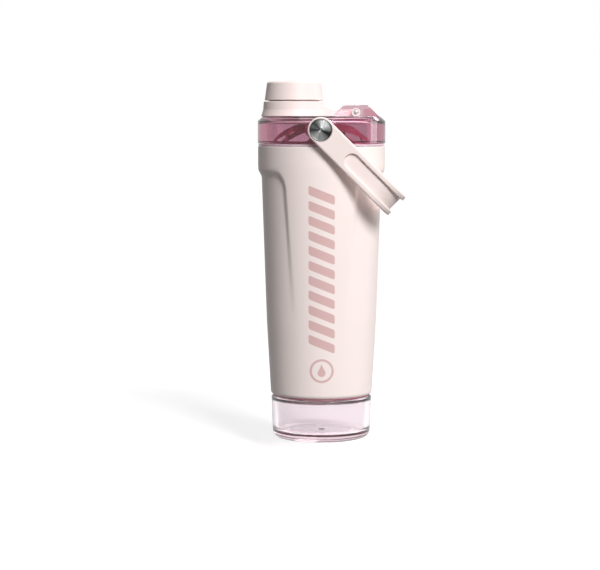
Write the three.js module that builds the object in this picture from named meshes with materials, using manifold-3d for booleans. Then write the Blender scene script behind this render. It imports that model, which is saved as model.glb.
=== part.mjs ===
// A vacuum-insulated protein shaker bottle: a steel body with grip recesses, a clear screw lid with a fluted
// agitator, a flip-and-twist spout cap, a swinging carry handle and a clear storage cup screwed on underneath.
// Millimetres, +Z up, origin at the middle of the face that the bottle stands on. The spout is towards -X, the
// cap's hinge towards +X, and the handle turns about an axis along Y.
import * as THREE from "three";
import { mergeVertices } from "three/addons/utils/BufferGeometryUtils.js";
import Module from "manifold-3d";

const wasm = await Module();
wasm.setup();

// ---------------------------------------------------------------- driving dimensions

const GAP = 0.3; // left between pieces that touch on the real bottle

const BODY = {
  bottom: 29, top: 196.1, bandBottom: 182.9, footRadius: 33.93, rimRadius: 42.5, wall: 0.9, footRound: 3,
  mouthRadius: 39.8, edge: 0.5,
};
const GRIP = { depth: 2, top: 178.9, fadeOut: 80, halfWidth: 37, corner: 8, step: 4 };
const LINER = { mouth: 38.6, tube: 39.5, wall: 0.8, shoulder: 183, floor: 48.3, threadBottom: 186.8 };
const THREAD = { lead: 8, starts: 2, rootWidth: 1.4, crestWidth: 0.8, stepsPerTurn: 30, sunk: 0.4 };
const LID = {
  bottom: 197.7, top: 215.8, radius: 42.7, chamferWidth: 3.2, chamferHeight: 3, plate: 3, cavity: 35.2,
  skirtRadius: 37.1, skirtBottom: 183.9, threadBottom: 185.4, threadRise: 7.2,
};
const SPOUT = { x: -18.4, bore: 10.9, radius: 12.8, top: 228.9, lugRadius: 14.9, lugBottom: 220.6, lugHeight: 2 };
const LUG_SPAN = 56; // degrees, of the bayonet lugs on the spout and in the cap
const HINGE = { x: 22.9, z: 218.5, pinRadius: 1.4, holeRadius: 1.7, knuckleRadius: 2.6, armWidth: 14, pinLength: 24 };
const HUMP = {
  earInner: 7.3, earOuter: 12.3, earFoot: 4.1, earNear: 14.9, earFar: 30.8, earTop: 223.3,
  webNear: 28.1, webFar: 33, webTop: 221.1, webSlope: 6.6, sunk: 2.4,
};
const RING = { bottom: 216.4, top: 225.6, baseRadius: 22.15, topRadius: 20.25, bore: 17.1, flangeBore: 18.3 };
const CAP = { bottom: 226.9, top: 239.1, baseRadius: 19.65, topRadius: 17.95, bore: 17.1, roof: 1.8, edge: 1.4 };
const INSERT = {
  radius: 16.8, bore: 15.6, flange: 18, bottom: 216.7, disc: 230.3, discTop: 232, lugTip: 13.9, lugBottom: 218.3,
  lugHeight: 1.9,
};
const PIVOT = { z: 206.8, bossRadius: 8, bossFace: 43.3, insertHole: 3.1 };
const HANDLE = {
  width: 17, length: 70.6, outer: 48.4, thickness: 3.6, bend: 19, chamfer: 1, channelWidth: 10.4, channelDepth: 2.1,
  channelStart: 23.7, bore: 4.2, counterbore: 7.5, counterboreFace: 46.4, restAngle: 45,
};
const ADAPTER = { bottom: 30.3, top: 40.3, radius: 32.8, nose: 30.7, bore: 29.3, roof: 38.5, threadBottom: 31.9 };
const CUP = {
  radius: 33.75, footRadius: 32.65, corner: 5, shoulder: 28.7, wall: 3.6, floor: 5,
  neckRadius: 27.8, neckBore: 25.4, neckTop: 37.7, threadBottom: 32.1,
};
const CUP_SEAL = { inner: 28.2, outer: 30.5, bottom: 29, top: 30 };
const AGITATOR = {
  radius: 34.8, ringWidth: 2.6, ringHeight: 3, bottom: 196.4, top: 211.8, hubRadius: 3.6,
  vanes: 9, twist: 70, vane: 1.7,
};

// ---------------------------------------------------------------- finishes

const finish = (color, roughness, metalness = 0, opacity = 1) =>
  new THREE.MeshStandardMaterial({ color, roughness, metalness, opacity, transparent: opacity < 1 });

const blushCoat = () => finish(0xf3dfda, 0.55);
const blushPlastic = () => finish(0xf6e3de, 0.45);
const roseClear = () => finish(0xb05a74, 0.08, 0, 0.5);
const deepRoseClear = () => finish(0x8e2f4d, 0.1, 0, 0.65);
const paleClear = () => finish(0xf3e3e8, 0.06, 0, 0.35);
const steel = () => finish(0xb9bbbe, 0.35, 1);
const brass = () => finish(0xc9a45c, 0.4, 1);
const silicone = () => finish(0xe9d3da, 0.7);
const whitePlastic = () => finish(0xe8e8e6, 0.6);

// ---------------------------------------------------------------- solids

// A closed three.js geometry as a solid, with coincident vertices joined and its faces turned outwards.
function solid(geometry) {
  const bare = geometry.clone();
  bare.deleteAttribute("normal");
  bare.deleteAttribute("uv");
  const merged = mergeVertices(bare, 1e-4);
  const vertProperties = new Float32Array(merged.attributes.position.array);
  const triVerts = new Uint32Array(merged.index.array);
  const made = new wasm.Manifold(new wasm.Mesh({ numProp: 3, vertProperties, triVerts }));
  if (made.volume() >= 0) return made;
  const turned = triVerts.map((_, i) => triVerts[i - (i % 3) + 2 - (i % 3)]);
  return new wasm.Manifold(new wasm.Mesh({ numProp: 3, vertProperties, triVerts: turned }));
}

// A solid as a flat-shaded three.js mesh.
function piece(name, shape, material) {
  const mesh = shape.getMesh();
  const geometry = new THREE.BufferGeometry()
    .setAttribute("position", new THREE.BufferAttribute(new Float32Array(mesh.vertProperties), 3))
    .setIndex(new THREE.BufferAttribute(new Uint32Array(mesh.triVerts), 1))
    .toNonIndexed();
  geometry.computeVertexNormals();
  const made = new THREE.Mesh(geometry, material);
  made.name = name;
  return made;
}

// A closed [radius, height] outline turned about the Z axis.
function revolve(outline, segments = 40) {
  const points = [...outline, outline[0]].map(([r, z]) => new THREE.Vector2(r, z));
  return new THREE.LatheGeometry(points, segments).rotateX(Math.PI / 2);
}

const turned = (outline, segments) => solid(revolve(outline, segments));
const washer = (inner, outer, bottom, top, segments) =>
  turned([[inner, bottom], [outer, bottom], [outer, top], [inner, top]], segments);
const disc = (radius, bottom, top, segments) =>
  turned([[0, bottom], [radius, bottom], [radius, top], [0, top]], segments);

// Points of an arc about [r, z], from one angle to another in degrees.
function arc([r, z], radius, from, to, steps) {
  return Array.from({ length: steps + 1 }, (_, i) => {
    const angle = THREE.MathUtils.degToRad(from + ((to - from) * i) / steps);
    return [r + radius * Math.cos(angle), z + radius * Math.sin(angle)];
  });
}

// A solid turned from the Z axis to the Y axis: heights become distances along Y on the given side.
const alongY = (shape, side = 1) => shape.rotate([-90 * side, 0, 0]);

// An outline in the XZ plane, given thickness from one Y to another.
function extrudeY(outline, from, to) {
  const shape = new THREE.Shape(outline.map(([x, z]) => new THREE.Vector2(x, z)));
  const geometry = new THREE.ExtrudeGeometry(shape, { depth: to - from, bevelEnabled: false, curveSegments: 8 });
  return solid(geometry.rotateX(Math.PI / 2).translate(0, to, 0));
}

// A shape in the XY plane, given thickness from one Z to another.
function extrudeZ(shape, from, to) {
  const geometry = new THREE.ExtrudeGeometry(shape, { depth: to - from, bevelEnabled: false, curveSegments: 8 });
  return solid(geometry.translate(0, 0, from));
}

// A unit block, cut into cells, whose corners are moved by place(u, v, w).
function formedBlock(cells, place) {
  const geometry = new THREE.BoxGeometry(1, 1, 1, ...cells);
  const position = geometry.attributes.position;
  for (let i = 0; i < position.count; i++) {
    const at = place(position.getX(i) + 0.5, position.getY(i) + 0.5, position.getZ(i) + 0.5);
    position.setXYZ(i, ...at);
  }
  return solid(geometry);
}

// Helical ridges on a wall of the given radius, `height` proud of it: outwards if positive, inwards if negative.
// Every ridge lies on one right-handed screw; a male thread is half a pitch from its female.
function threads({ wall, height, from, rise }) {
  const turns = rise / THREAD.lead;
  const steps = Math.round(turns * THREAD.stepsPerTurn);
  const side = Math.sign(height);
  const screwHeight = side > 0 ? THREAD.lead / THREAD.starts / 2 : 0;
  const ridge = (start) =>
    formedBlock([1, 1, steps], (u, v, w) => {
      const runOut = Math.min(1, w * steps * 0.5, (1 - w) * steps * 0.5);
      const radius = wall - side * THREAD.sunk + u * (side * THREAD.sunk + height * runOut);
      const width = THREE.MathUtils.lerp(THREAD.rootWidth, THREAD.crestWidth, u);
      const middle = from + w * rise;
      const angle = ((middle - screwHeight) / THREAD.lead + start / THREAD.starts) * 2 * Math.PI;
      return [radius * Math.cos(angle), radius * Math.sin(angle), middle + (v - 0.5) * width];
    });
  return wasm.Manifold.union(Array.from({ length: THREAD.starts }, (_, start) => ridge(start)));
}

// A sector of a ring about the Z axis, centred on `middle` degrees and `span` degrees wide.
function ringSector(inner, outer, bottom, height, middle, span) {
  return formedBlock([6, 1, 1], (u, v, w) => {
    const angle = THREE.MathUtils.degToRad(middle + (u - 0.5) * span);
    const radius = inner + v * (outer - inner);
    return [radius * Math.cos(angle), radius * Math.sin(angle), bottom + w * height];
  });
}

const atSpout = (shape) => shape.translate([SPOUT.x, 0, 0]);

// ---------------------------------------------------------------- steel body

// The body's outer radius at a height: a cone below the band, a cylinder in it.
function bodyRadius(z) {
  const along = THREE.MathUtils.clamp((z - BODY.bottom) / (BODY.bandBottom - BODY.bottom), 0, 1);
  return THREE.MathUtils.lerp(BODY.footRadius, BODY.rimRadius, along);
}

// How far the wall is pressed in at a point: two recesses with rounded upper corners that fade out downwards.
function gripDepth(x, y, z) {
  const across = Math.abs(Math.atan2(y, Math.abs(x))) * bodyRadius(z) - (GRIP.halfWidth - GRIP.corner);
  const up = z - (GRIP.top - GRIP.corner);
  const outside = Math.hypot(Math.max(across, 0), Math.max(up, 0)) + Math.min(Math.max(across, up), 0) - GRIP.corner;
  const inset = 1 - THREE.MathUtils.smoothstep(outside, -GRIP.step / 2, GRIP.step / 2);
  const fade = THREE.MathUtils.clamp((z - GRIP.fadeOut) / (GRIP.top - GRIP.fadeOut), 0, 1);
  return GRIP.depth * inset * fade;
}

function outerShell() {
  const round = BODY.footRound;
  const footCentre = [bodyRadius(BODY.bottom + round) - round, BODY.bottom + round];
  const steps = [7, 3.5, 1, -1.5].map((below) => GRIP.top - below);
  const wallHeights = [GRIP.fadeOut, 128, ...steps, BODY.bandBottom];
  const innerHeights = [BODY.bandBottom, GRIP.top - 1, GRIP.top - 6.5, GRIP.fadeOut, BODY.bottom + round];
  const geometry = revolve(
    [
      ...arc(footCentre, round, -90, 0, 2),
      ...wallHeights.map((z) => [bodyRadius(z), z]),
      ...arc([BODY.rimRadius - BODY.edge, BODY.top - BODY.edge], BODY.edge, 0, 90, 1),
      [BODY.mouthRadius, BODY.top],
      [BODY.mouthRadius, BODY.top - BODY.wall],
      [BODY.rimRadius - BODY.wall, BODY.top - BODY.wall],
      ...innerHeights.map((z) => [bodyRadius(z) - BODY.wall, z]),
      [footCentre[0], BODY.bottom + BODY.wall],
    ],
    64,
  );
  const position = geometry.attributes.position;
  for (let i = 0; i < position.count; i++) {
    const [x, y, z] = [position.getX(i), position.getY(i), position.getZ(i)];
    const keep = 1 - gripDepth(x, y, z) / Math.hypot(x, y);
    position.setXYZ(i, x * keep, y * keep, z);
  }
  return solid(geometry);
}

function innerLiner() {
  const { mouth, tube, wall, shoulder, floor } = LINER;
  const outer = [[31.2, 55.3], [33.8, 89.5], [35.9, 144.5], [37.3, 175.4]];
  const shell = turned(
    [
      [0, floor], [22, floor + 0.8], [28.4, floor + 2.6], ...outer, [tube, shoulder + 1], [tube, BODY.top],
      [mouth, BODY.top], [mouth, shoulder + 1], ...outer.toReversed().map(([r, z]) => [r - wall, z]),
      [27.9, floor + 3.4], [22, floor + 1.6], [0, floor + wall],
    ],
    40,
  );
  return shell.add(threads({ wall: mouth, height: -1.2, from: LINER.threadBottom, rise: LID.threadRise }));
}

// A dished disc welded inside the foot, with a pocket underneath for the evacuation plug.
function vacuumBase() {
  const pocket = [[0, 42.9], [4.2, 42.9], [4.2, 41.7], [6, 41.7], [6, 43.3]];
  const flange = [[32.2, 43.3], [32.2, 40.9], [33.4, 40.9], [33.4, 44.3]];
  return turned([...pocket, ...flange, [0, 44.3]], 32);
}

const vacuumPlug = () => disc(3.7, 41.8, 42.6, 24);
const getter = () => disc(5, 44.6, 45.9, 24).translate([13, 0, 0]);

function baseAdapter() {
  const { bottom, top, radius, nose, bore, roof } = ADAPTER;
  const ring = turned(
    [[bore, bottom], [nose, bottom], [radius, bottom + 2.4], [radius, top], [0, top], [0, roof], [bore, roof]],
    40,
  );
  return ring.add(threads({ wall: bore, height: -1.1, from: ADAPTER.threadBottom, rise: 5.2 }));
}

// ---------------------------------------------------------------- storage cup

function storageCup() {
  const { radius, footRadius, corner, shoulder, wall, floor, neckRadius, neckBore, neckTop } = CUP;
  const cup = turned(
    [
      [0, 0], ...arc([footRadius - corner, corner], corner, -90, 0, 4), [radius, shoulder - 1.6],
      [radius - 0.5, shoulder - 0.3], [radius - 1.2, shoulder], [neckRadius, shoulder], [neckRadius, neckTop],
      [neckBore, neckTop],
      [neckBore, shoulder - 0.5], [radius - wall, shoulder - 4.5], [footRadius - wall, floor + 3.5],
      [footRadius - wall - 2.5, floor], [2.4, floor], [1.6, floor + 0.6], [0, floor + 0.6],
    ],
    40,
  );
  return cup.add(threads({ wall: neckRadius, height: 1.15, from: CUP.threadBottom, rise: 4.6 }));
}

const cupSeal = () => washer(CUP_SEAL.inner, CUP_SEAL.outer, CUP_SEAL.bottom, CUP_SEAL.top, 40);

// ---------------------------------------------------------------- lid

function lidShell() {
  const { bottom, top, radius, chamferWidth, chamferHeight, plate, cavity, skirtRadius, skirtBottom } = LID;
  return turned(
    [
      [skirtRadius, skirtBottom], [skirtRadius, bottom], [radius - 0.5, bottom], [radius, bottom + 0.5],
      [radius, top - chamferHeight], [radius - chamferWidth, top], [0, top], [0, top - plate],
      [cavity, top - plate], [cavity, skirtBottom],
    ],
    48,
  );
}

// The clear hump that holds the hinge pin: two ears with 45 degree ends, and a low web that stops the open cap.
function hingeHump() {
  const { earInner, earOuter, earFoot, earNear, earFar, earTop, webNear, webFar, webTop, webSlope, sunk } = HUMP;
  const low = LID.top - sunk;
  const ear = [[earFoot, low], [earNear, earTop], [earFar, earTop], [earFar + earTop - low, low]];
  const web = [
    [webNear, low], [webNear, webTop], [webFar, webTop], [webFar + webSlope, webTop - webSlope],
    [webFar + webSlope, low],
  ];
  return wasm.Manifold.union([
    extrudeY(ear, earInner, earOuter),
    extrudeY(ear, -earOuter, -earInner),
    extrudeY(web, -earInner - 0.1, earInner + 0.1),
  ]);
}

function lidBody() {
  const neck = disc(SPOUT.radius, LID.top - 1, SPOUT.top);
  const lugs = [0, 180].map((middle) =>
    ringSector(SPOUT.radius - 0.6, SPOUT.lugRadius, SPOUT.lugBottom, SPOUT.lugHeight, middle, LUG_SPAN),
  );
  const bosses = [1, -1].map((side) =>
    alongY(disc(PIVOT.bossRadius, LID.cavity + 4, PIVOT.bossFace, 32), side).translate([0, 0, PIVOT.z]),
  );
  const insertHoles = [1, -1].map((side) =>
    alongY(disc(PIVOT.insertHole, 36.3, 44, 24), side).translate([0, 0, PIVOT.z]),
  );
  const pinHole = alongY(disc(HINGE.holeRadius, -20, 20, 20)).translate([HINGE.x, 0, HINGE.z]);
  const knuckleWell = alongY(disc(HINGE.knuckleRadius + 0.6, -HUMP.earInner, HUMP.earInner, 24));
  return lidShell()
    .add(threads({ wall: LID.skirtRadius, height: 1.2, from: LID.threadBottom, rise: LID.threadRise }))
    .add(hingeHump())
    .add(atSpout(wasm.Manifold.union([neck, ...lugs])))
    .add(wasm.Manifold.union(bosses))
    .subtract(atSpout(disc(SPOUT.bore, LID.top - 5, SPOUT.top + 1)))
    .subtract(wasm.Manifold.union([...insertHoles, pinHole, knuckleWell.translate([HINGE.x, 0, HINGE.z])]));
}

// Twisted vanes that climb from an outer ring to a hub under the middle of the lid.
function agitator() {
  const { radius, ringWidth, ringHeight, bottom, top, hubRadius, vanes, twist, vane } = AGITATOR;
  const reach = radius - ringWidth / 2;
  const crest = (t) => THREE.MathUtils.lerp(top, bottom + 2.2, t ** 1.6);
  const blade = (index) =>
    formedBlock([7, 1, 1], (u, v, w) => {
      const r = THREE.MathUtils.lerp(1.5, reach, u);
      const angle = ((index / vanes) * 360 + twist * u) * THREE.MathUtils.DEG2RAD;
      const lean = (v - 0.5) * vane;
      const z = crest(u) - (1 - w) * THREE.MathUtils.lerp(5.5, 2.4, u);
      return [
        r * Math.cos(angle) - lean * Math.sin(angle),
        r * Math.sin(angle) + lean * Math.cos(angle),
        z,
      ];
    });
  const ring = washer(radius - ringWidth, radius, bottom, bottom + ringHeight, 36);
  const neck = hubRadius - 1;
  const hub = turned([[0, top - 6], [neck, top - 6], [hubRadius, top - 1], [neck, top], [0, top]], 24);
  return wasm.Manifold.union([ring, hub, ...Array.from({ length: vanes }, (_, index) => blade(index))]);
}

const lidGasket = () => washer(38.8, LID.radius - 0.4, BODY.top + GAP, LID.bottom - GAP, 40);

// ---------------------------------------------------------------- spout cap and its hinge

function hingeRing() {
  const { bottom, top, baseRadius, topRadius, bore, flangeBore } = RING;
  const tier = turned(
    [
      [flangeBore, bottom], [baseRadius, bottom], [baseRadius - 0.6, bottom + 1.4], [topRadius + 0.45, bottom + 4.2],
      [topRadius, top - 0.6], [topRadius - 0.5, top], [bore, top], [bore, bottom + 2.2], [flangeBore, bottom + 2.2],
    ],
    40,
  );
  const reach = [
    [SPOUT.x + bore + 1.5, bottom], [HINGE.x, bottom], [HINGE.x, HINGE.z + 1.9], [6, HINGE.z + 1.9],
    [SPOUT.x + baseRadius - 1, HINGE.z + 2.6], [SPOUT.x + bore + 1.5, HINGE.z + 4],
  ];
  const arm = extrudeY(reach, -HINGE.armWidth / 2, HINGE.armWidth / 2);
  const across = (radius, half) => alongY(disc(radius, -half, half, 24)).translate([HINGE.x, 0, HINGE.z]);
  return atSpout(tier)
    .add(arm)
    .add(across(HINGE.knuckleRadius, HINGE.armWidth / 2))
    .subtract(atSpout(disc(bore, bottom + 2, top + 1).add(disc(flangeBore, bottom - 1, bottom + 2.2))))
    .subtract(across(HINGE.holeRadius, HINGE.armWidth));
}

const hingePin = () =>
  alongY(disc(HINGE.pinRadius, -HINGE.pinLength / 2, HINGE.pinLength / 2, 20)).translate([HINGE.x, 0, HINGE.z]);

function capShell() {
  const { bottom, top, baseRadius, topRadius, bore, roof, edge } = CAP;
  return atSpout(
    turned(
      [
        [bore, bottom], [baseRadius - 0.3, bottom], [baseRadius, bottom + 0.4], [topRadius + 0.15, top - edge - 0.4],
        ...arc([topRadius - edge, top - edge], edge, 10, 90, 3), [0, top], [0, top - roof],
        [bore - 1.3, top - roof], [bore, top - roof - 1.4],
      ],
      40,
    ),
  );
}

// The liner that holds the cap in its ring: a flange below, a disc above the spout, and two bayonet lugs.
function capInsert() {
  const { radius, bore, flange, bottom, disc: under, discTop, lugTip, lugBottom, lugHeight } = INSERT;
  const wallTop = CAP.top - CAP.roof - 2.4;
  const liner = turned(
    [
      [bore, bottom], [flange, bottom], [flange, bottom + 1.2], [radius, bottom + 1.6], [radius, wallTop],
      [bore, wallTop], [bore, discTop], [0, discTop], [0, under], [bore, under],
    ],
    40,
  );
  const lugs = [90, 270].map((middle) => ringSector(lugTip, bore + 0.6, lugBottom, lugHeight, middle, LUG_SPAN));
  return atSpout(wasm.Manifold.union([liner, ...lugs]));
}

const capSeal = () => atSpout(disc(INSERT.bore - 0.5, SPOUT.top + GAP, INSERT.disc - GAP));

// ---------------------------------------------------------------- carry handle and its pivots

// The outline of a U lying along +X, `inset` inside the handle's outer face, as a shape in the XY plane.
function bailShape(inset) {
  const { length, outer, bend } = HANDLE;
  const [end, side, radius] = [length - inset, outer - inset, bend - inset];
  return new THREE.Shape()
    .moveTo(-HANDLE.width, -side)
    .lineTo(end - radius, -side)
    .absarc(end - radius, radius - side, radius, -Math.PI / 2, 0)
    .absarc(end - radius, side - radius, radius, 0, Math.PI / 2)
    .lineTo(-HANDLE.width, side);
}

// A U extruded across the handle's width, `inset` inside its outer face; its two flanks run out at 45 degrees by
// `flare` for each millimetre beyond the start of the chamfer, 1 outwards or -1 inwards.
function bailSolid(inset, flare) {
  const reach = HANDLE.chamfer + 1;
  const depth = HANDLE.width - 2 * HANDLE.chamfer;
  const settings = {
    depth, curveSegments: 6, bevelSegments: 1, bevelThickness: reach, bevelSize: -flare * reach,
    bevelOffset: flare * reach,
  };
  return solid(new THREE.ExtrudeGeometry(bailShape(inset), settings).translate(0, 0, -depth / 2));
}

// A bar outline in the XZ plane with a round near end at `start`, running on past the handle's end.
const roundEndedBar = (start, width) => [
  [HANDLE.length + 5, -width / 2],
  [HANDLE.length + 5, width / 2],
  ...arc([start + width / 2, 0], width / 2, 90, 270, 12),
];

function handle() {
  const { width, outer, thickness, channelWidth, channelDepth, channelStart } = HANDLE;
  const half = width / 2;
  const filled = (inset) => extrudeZ(bailShape(inset), -half - 1, half + 1);
  const bar = extrudeY(roundEndedBar(-half, width), -outer - 5, outer + 5);
  const channel = extrudeY(roundEndedBar(channelStart, channelWidth), -outer - 5, outer + 5);
  const holes = [1, -1].flatMap((side) => [
    alongY(disc(HANDLE.bore, 40, 50, 20), side),
    alongY(disc(HANDLE.counterbore, HANDLE.counterboreFace, 50, 28), side),
  ]);
  return bailSolid(0, -1)
    .subtract(bailSolid(thickness, 1))
    .intersect(bar)
    .subtract(channel.subtract(filled(channelDepth)))
    .subtract(wasm.Manifold.union(holes));
}

// The pieces of one pivot, as outlines along the pivot's axis: a bush in the eye, a screw into a brass insert
// in the lid's wall, and a turned cap over the screw's head.
const BUSH = [[1.9, 43.6], [7.6, 43.6], [7.6, 44.1], [3.9, 44.1], [3.9, 46.2], [1.9, 46.2]];
const SCREW = [[0, 38], [1.5, 38], [1.5, 46.5], [3.4, 46.5], [3.4, 47.5], [0, 47.5]];
const PIVOT_CAP = [
  [3.8, 46.7], [7.2, 46.7], [7.2, 48], [6.7, 48.4], [1.2, 48.9], [0.7, 48.5], [0, 48.5], [0, 47.9], [3.8, 47.9],
];
const pivotPieces = {
  bush: [() => turned(BUSH, 24), whitePlastic],
  screw: [() => turned(SCREW, 20), steel],
  insert: [() => washer(1.8, 2.8, 36.7, 42.7, 20), brass],
  cap: [() => turned(PIVOT_CAP, 24), steel],
};

// ---------------------------------------------------------------- the bottle

const bottle = new THREE.Group();

bottle.add(
  piece("outer_shell", outerShell(), blushCoat()),
  piece("inner_liner", innerLiner(), steel()),
  piece("vacuum_base", vacuumBase(), steel()),
  piece("vacuum_plug", vacuumPlug(), steel()),
  piece("getter", getter(), steel()),
  piece("base_adapter", baseAdapter(), blushPlastic()),
  piece("storage_cup", storageCup(), paleClear()),
  piece("cup_seal", cupSeal(), silicone()),
);

bottle.add(
  piece("lid_body", lidBody(), roseClear()),
  piece("agitator", agitator(), deepRoseClear()),
  piece("lid_gasket", lidGasket(), silicone()),
  piece("hinge_ring", hingeRing(), blushPlastic()),
  piece("hinge_pin", hingePin(), steel()),
  piece("cap_shell", capShell(), blushPlastic()),
  piece("cap_insert", capInsert(), whitePlastic()),
  piece("cap_seal", capSeal(), silicone()),
);

const swing = new THREE.Group();
swing.position.z = PIVOT.z;
swing.rotation.y = THREE.MathUtils.degToRad(HANDLE.restAngle);
swing.add(piece("handle", handle(), blushPlastic()));
bottle.add(swing);

for (const [end, side] of [["front", -1], ["rear", 1]]) {
  for (const [kind, [shape, material]] of Object.entries(pivotPieces)) {
    bottle.add(piece(`pivot_${kind}_${end}`, alongY(shape(), side).translate([0, 0, PIVOT.z]), material()));
  }
}

export default bottle;
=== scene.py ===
"""The looks of an insulated protein shaker bottle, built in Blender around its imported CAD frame.

Every length in the classes is in millimetres and every finished mesh is in metres, in the frame of the CAD
model: +Z up from the face that the bottle stands on, the spout towards -X, the cap's hinge towards +X.
"""

import logging
import math
from collections.abc import Iterable, Sequence
from dataclasses import dataclass
from enum import Enum

import bmesh
import bpy
from mathutils import Matrix, Vector

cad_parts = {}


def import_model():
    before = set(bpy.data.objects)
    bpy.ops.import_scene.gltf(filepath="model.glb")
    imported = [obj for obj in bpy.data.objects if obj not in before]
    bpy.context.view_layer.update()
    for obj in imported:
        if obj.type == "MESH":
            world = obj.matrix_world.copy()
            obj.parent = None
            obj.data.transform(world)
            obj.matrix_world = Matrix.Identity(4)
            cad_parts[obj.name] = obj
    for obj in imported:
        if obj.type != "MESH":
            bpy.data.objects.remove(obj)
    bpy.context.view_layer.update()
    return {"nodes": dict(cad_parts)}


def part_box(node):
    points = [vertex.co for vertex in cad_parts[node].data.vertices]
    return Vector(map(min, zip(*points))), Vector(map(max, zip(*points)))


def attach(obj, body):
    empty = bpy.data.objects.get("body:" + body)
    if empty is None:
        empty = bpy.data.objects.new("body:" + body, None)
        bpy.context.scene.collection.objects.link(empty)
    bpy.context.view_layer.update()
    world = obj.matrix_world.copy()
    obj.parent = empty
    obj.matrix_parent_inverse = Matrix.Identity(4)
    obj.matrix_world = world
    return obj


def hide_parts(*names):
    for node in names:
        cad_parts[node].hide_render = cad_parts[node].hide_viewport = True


LOG = logging.getLogger("shaker")
METRES = 0.001
SMOOTH_ANGLE = math.radians(34)
LUG_SPAN = 56

Point = tuple[float, float]
Corner = tuple[float, float, float]
Colour = tuple[float, float, float, float]


class Cut(Enum):
    """How one solid acts on another."""

    JOIN = "UNION"
    REMOVE = "DIFFERENCE"


class Side(Enum):
    """The two sides of the bottle that carry a handle pivot."""

    FRONT = -1
    REAR = 1


# ---------------------------------------------------------------- shader graph


class Wire:
    """A value in a shader graph, with the arithmetic of Math nodes written as Python operators."""

    def __init__(self, graph: "Graph", socket: bpy.types.NodeSocket) -> None:
        """Wraps an output socket of a graph's node."""
        self.graph = graph
        self.socket = socket

    def _with(self, operation: str, *others: "Wire | float") -> "Wire":
        """Returns this value combined with others by a Math node."""
        return self.graph.math(operation, self, *others)

    def __add__(self, other: "Wire | float") -> "Wire":
        """Returns the sum."""
        return self._with("ADD", other)

    def __radd__(self, other: float) -> "Wire":
        """Returns the sum, with a number on the left."""
        return self.graph.math("ADD", other, self)

    def __sub__(self, other: "Wire | float") -> "Wire":
        """Returns the difference."""
        return self._with("SUBTRACT", other)

    def __rsub__(self, other: float) -> "Wire":
        """Returns the difference, with a number on the left."""
        return self.graph.math("SUBTRACT", other, self)

    def __mul__(self, other: "Wire | float") -> "Wire":
        """Returns the product."""
        return self._with("MULTIPLY", other)

    def __rmul__(self, other: float) -> "Wire":
        """Returns the product, with a number on the left."""
        return self.graph.math("MULTIPLY", other, self)

    def __truediv__(self, other: "Wire | float") -> "Wire":
        """Returns the quotient."""
        return self._with("DIVIDE", other)

    def __abs__(self) -> "Wire":
        """Returns the absolute value."""
        return self._with("ABSOLUTE")

    def at_least(self, other: "Wire | float") -> "Wire":
        """Returns the larger of two values."""
        return self._with("MAXIMUM", other)

    def at_most(self, other: "Wire | float") -> "Wire":
        """Returns the smaller of two values."""
        return self._with("MINIMUM", other)

    def inside(self, edge: float) -> "Wire":
        """Returns 1 where a signed distance is negative and 0 outside, softened over an edge width.

        Args:
            edge: half the width of the soft edge.

        Returns:
            The mask.
        """
        return self.graph.node(
            "ShaderNodeMapRange",
            {"interpolation_type": "SMOOTHSTEP"},
            {"Value": self, "From Min": edge, "From Max": -edge},
        )


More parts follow.
